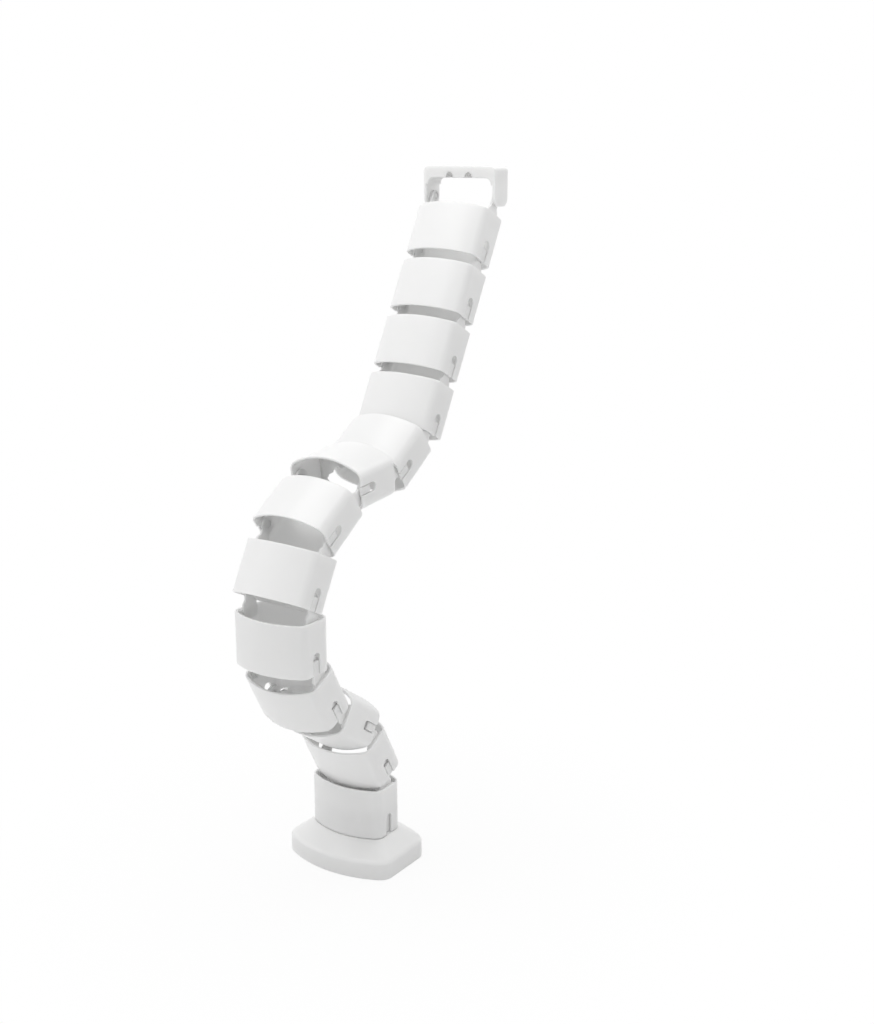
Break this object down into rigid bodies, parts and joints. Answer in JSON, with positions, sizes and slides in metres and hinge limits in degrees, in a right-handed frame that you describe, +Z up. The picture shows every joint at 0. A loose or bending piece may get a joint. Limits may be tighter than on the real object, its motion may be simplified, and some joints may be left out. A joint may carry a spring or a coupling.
{
  "type": "cable organizer",
  "caption": "Hinged cable spine for a sit-stand desk: barrel-shaped sleeves linked in a chain, a weighted floor foot and a U-shaped desk bracket.",
  "frame": {"origin": "centre of the foot's underside, on the floor", "axes": "+Z up, +X along the hinge axes, -Y the front that the picture shows"},
  "size_m": [0.1144, 0.3226, 0.6266],
  "materials": {
    "white_plastic": "satin white moulded plastic",
    "steel": "plain rolled steel",
    "screw_steel": "zinc plated",
    "rubber": "matt black"
  },
  "bodies": {
    "foot": {"foot_shell": "white_plastic", "ballast_plate": "steel", "base_plate": "white_plastic", "foot_screws": "screw_steel", "floor_pad": "rubber", "link_13": "white_plastic"},
    "sleeve_12": {"link_12": "white_plastic"},
    "sleeve_11": {"link_11": "white_plastic"},
    "sleeve_10": {"link_10": "white_plastic"},
    "sleeve_09": {"link_09": "white_plastic"},
    "sleeve_08": {"link_08": "white_plastic"},
    "sleeve_07": {"link_07": "white_plastic"},
    "sleeve_06": {"link_06": "white_plastic"},
    "sleeve_05": {"link_05": "white_plastic"},
    "sleeve_04": {"link_04": "white_plastic"},
    "sleeve_03": {"link_03": "white_plastic"},
    "sleeve_02": {"link_02": "white_plastic"},
    "sleeve_01": {"link_01": "white_plastic"},
    "bracket": {"desk_bracket": "white_plastic"}
  },
  "joints": [
    {"name": "hinge_12", "type": "hinge", "parent": "foot", "child": "sleeve_12", "pos_m": [0, 0, 0.0949], "axis": [1, 0, 0], "range_deg": [-56, 0]},
    {"name": "hinge_11", "type": "hinge", "parent": "sleeve_12", "child": "sleeve_11", "pos_m": [0, -0.02638, 0.14452], "axis": [1, 0, 0], "range_deg": [-56, 0]},
    {"name": "hinge_10", "type": "hinge", "parent": "sleeve_11", "child": "sleeve_10", "pos_m": [0, -0.07298, 0.17595], "axis": [-1, 0, 0], "range_deg": [-56, 0]},
    {"name": "hinge_09", "type": "hinge", "parent": "sleeve_10", "child": "sleeve_09", "pos_m": [0, -0.09936, 0.22557], "axis": [-1, 0, 0], "range_deg": [-56, 0]},
    {"name": "hinge_08", "type": "hinge", "parent": "sleeve_09", "child": "sleeve_08", "pos_m": [0, -0.09936, 0.28177], "axis": [-1, 0, 0], "range_deg": [-56, 0]},
    {"name": "hinge_07", "type": "hinge", "parent": "sleeve_08", "child": "sleeve_07", "pos_m": [0, -0.07298, 0.33139], "axis": [-1, 0, 0], "range_deg": [-56, 0]},
    {"name": "hinge_06", "type": "hinge", "parent": "sleeve_07", "child": "sleeve_06", "pos_m": [0, -0.02638, 0.36282], "axis": [-1, 0, 0], "range_deg": [-56, 0]},
    {"name": "hinge_05", "type": "hinge", "parent": "sleeve_06", "child": "sleeve_05", "pos_m": [0, 0.02951, 0.36869], "axis": [1, 0, 0], "range_deg": [-56, 0]},
    {"name": "hinge_04", "type": "hinge", "parent": "sleeve_05", "child": "sleeve_04", "pos_m": [0, 0.0761, 0.40012], "axis": [1, 0, 0], "range_deg": [-56, 0]},
    {"name": "hinge_03", "type": "hinge", "parent": "sleeve_04", "child": "sleeve_03", "pos_m": [0, 0.10248, 0.44974], "axis": [1, 0, 0], "range_deg": [-28, 28]},
    {"name": "hinge_02", "type": "hinge", "parent": "sleeve_03", "child": "sleeve_02", "pos_m": [0, 0.12887, 0.49936], "axis": [1, 0, 0], "range_deg": [-28, 28]},
    {"name": "hinge_01", "type": "hinge", "parent": "sleeve_02", "child": "sleeve_01", "pos_m": [0, 0.15525, 0.54898], "axis": [1, 0, 0], "range_deg": [-28, 28]},
    {"name": "hinge_bracket", "type": "hinge", "parent": "sleeve_01", "child": "bracket", "pos_m": [0, 0.18164, 0.59861], "axis": [1, 0, 0], "range_deg": [-56, 0]}
  ]
}
